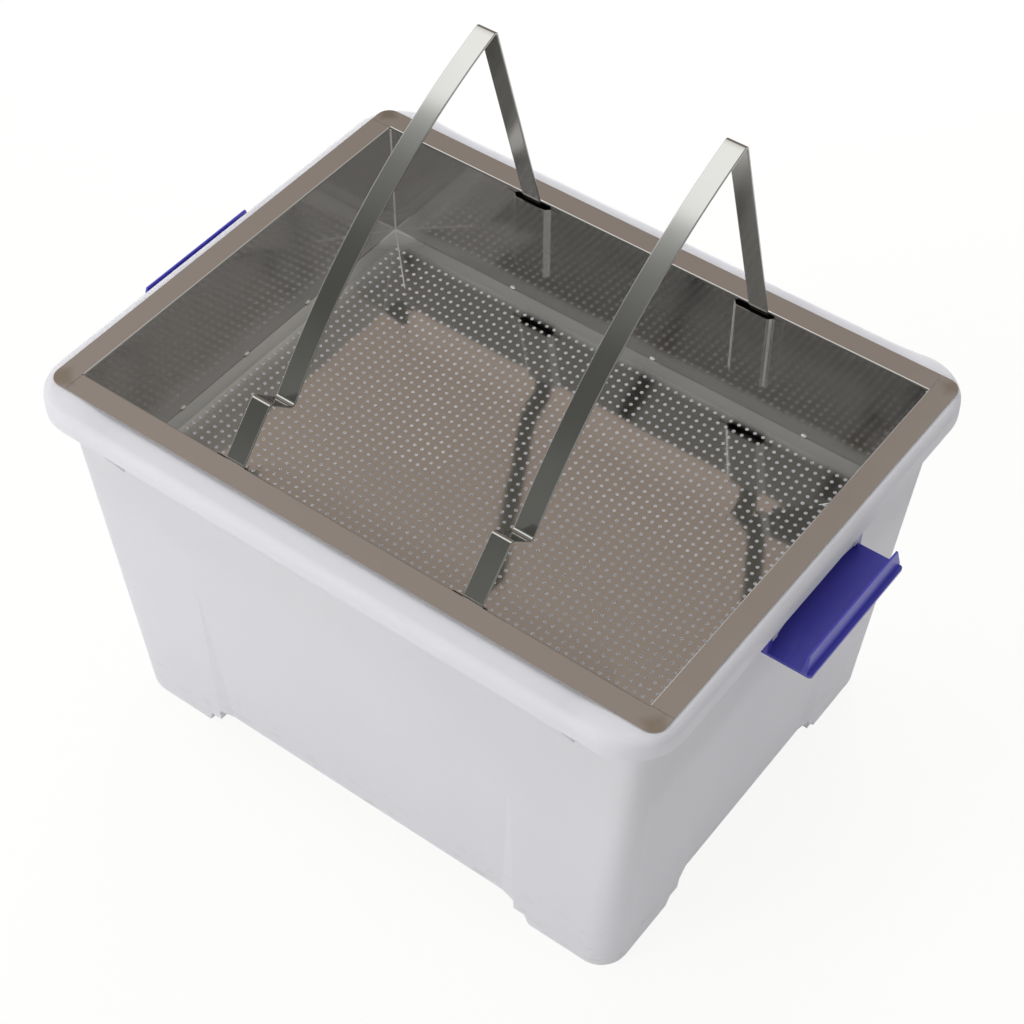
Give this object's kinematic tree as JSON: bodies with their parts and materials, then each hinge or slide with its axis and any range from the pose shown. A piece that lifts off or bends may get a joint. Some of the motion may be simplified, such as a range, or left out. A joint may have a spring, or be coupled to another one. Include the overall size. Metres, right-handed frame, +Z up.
{
  "type": "uncapping tank",
  "caption": "Rectangular plastic tub with a lift-out perforated steel basket, bent steel strips that hold a honey frame, and hinged lid clips on the short sides",
  "frame": {"origin": "on the ground under the middle of the tub", "axes": "+X along the tub's length, +Y towards the rear wall, +Z up; the low shelf end of the frame rests is at the front, -Y"},
  "size_m": [0.659, 0.462, 0.5788],
  "materials": {
    "tub_plastic": "satin moulded white",
    "clip_plastic": "smooth deep blue",
    "basket_steel": "cold rolled stainless sheet",
    "strip_steel": "bent flat stainless strip"
  },
  "bodies": {
    "tub": {"tub": "tub_plastic"},
    "basket": {"wall_front": "basket_steel", "wall_rear": "basket_steel", "wall_left": "basket_steel", "wall_right": "basket_steel", "basket_floor": "basket_steel", "pocket_front_left": "basket_steel", "pocket_front_right": "basket_steel", "pocket_rear_left": "basket_steel", "pocket_rear_right": "basket_steel"},
    "rest_left": {"frame_rest_left": "strip_steel"},
    "rest_right": {"frame_rest_right": "strip_steel"},
    "left_lid_clip": {"clip_left": "clip_plastic"},
    "right_lid_clip": {"clip_right": "clip_plastic"}
  },
  "joints": [
    {"name": "basket_lift", "type": "slide", "parent": "tub", "child": "basket", "axis": [0, 0, 1], "range_m": [0, 0.16]},
    {"name": "left_rest_lift", "type": "slide", "parent": "basket", "child": "rest_left", "axis": [0, 0, 1], "range_m": [0, 0.09]},
    {"name": "right_rest_lift", "type": "slide", "parent": "basket", "child": "rest_right", "axis": [0, 0, 1], "range_m": [0, 0.09]},
    {"name": "left_clip_hinge", "type": "hinge", "parent": "tub", "child": "left_lid_clip", "pos_m": [-0.287, 0, 0.338], "axis": [0, 1, 0], "range_deg": [0, 90]},
    {"name": "right_clip_hinge", "type": "hinge", "parent": "tub", "child": "right_lid_clip", "pos_m": [0.287, 0, 0.338], "axis": [0, -1, 0], "range_deg": [0, 90]}
  ]
}
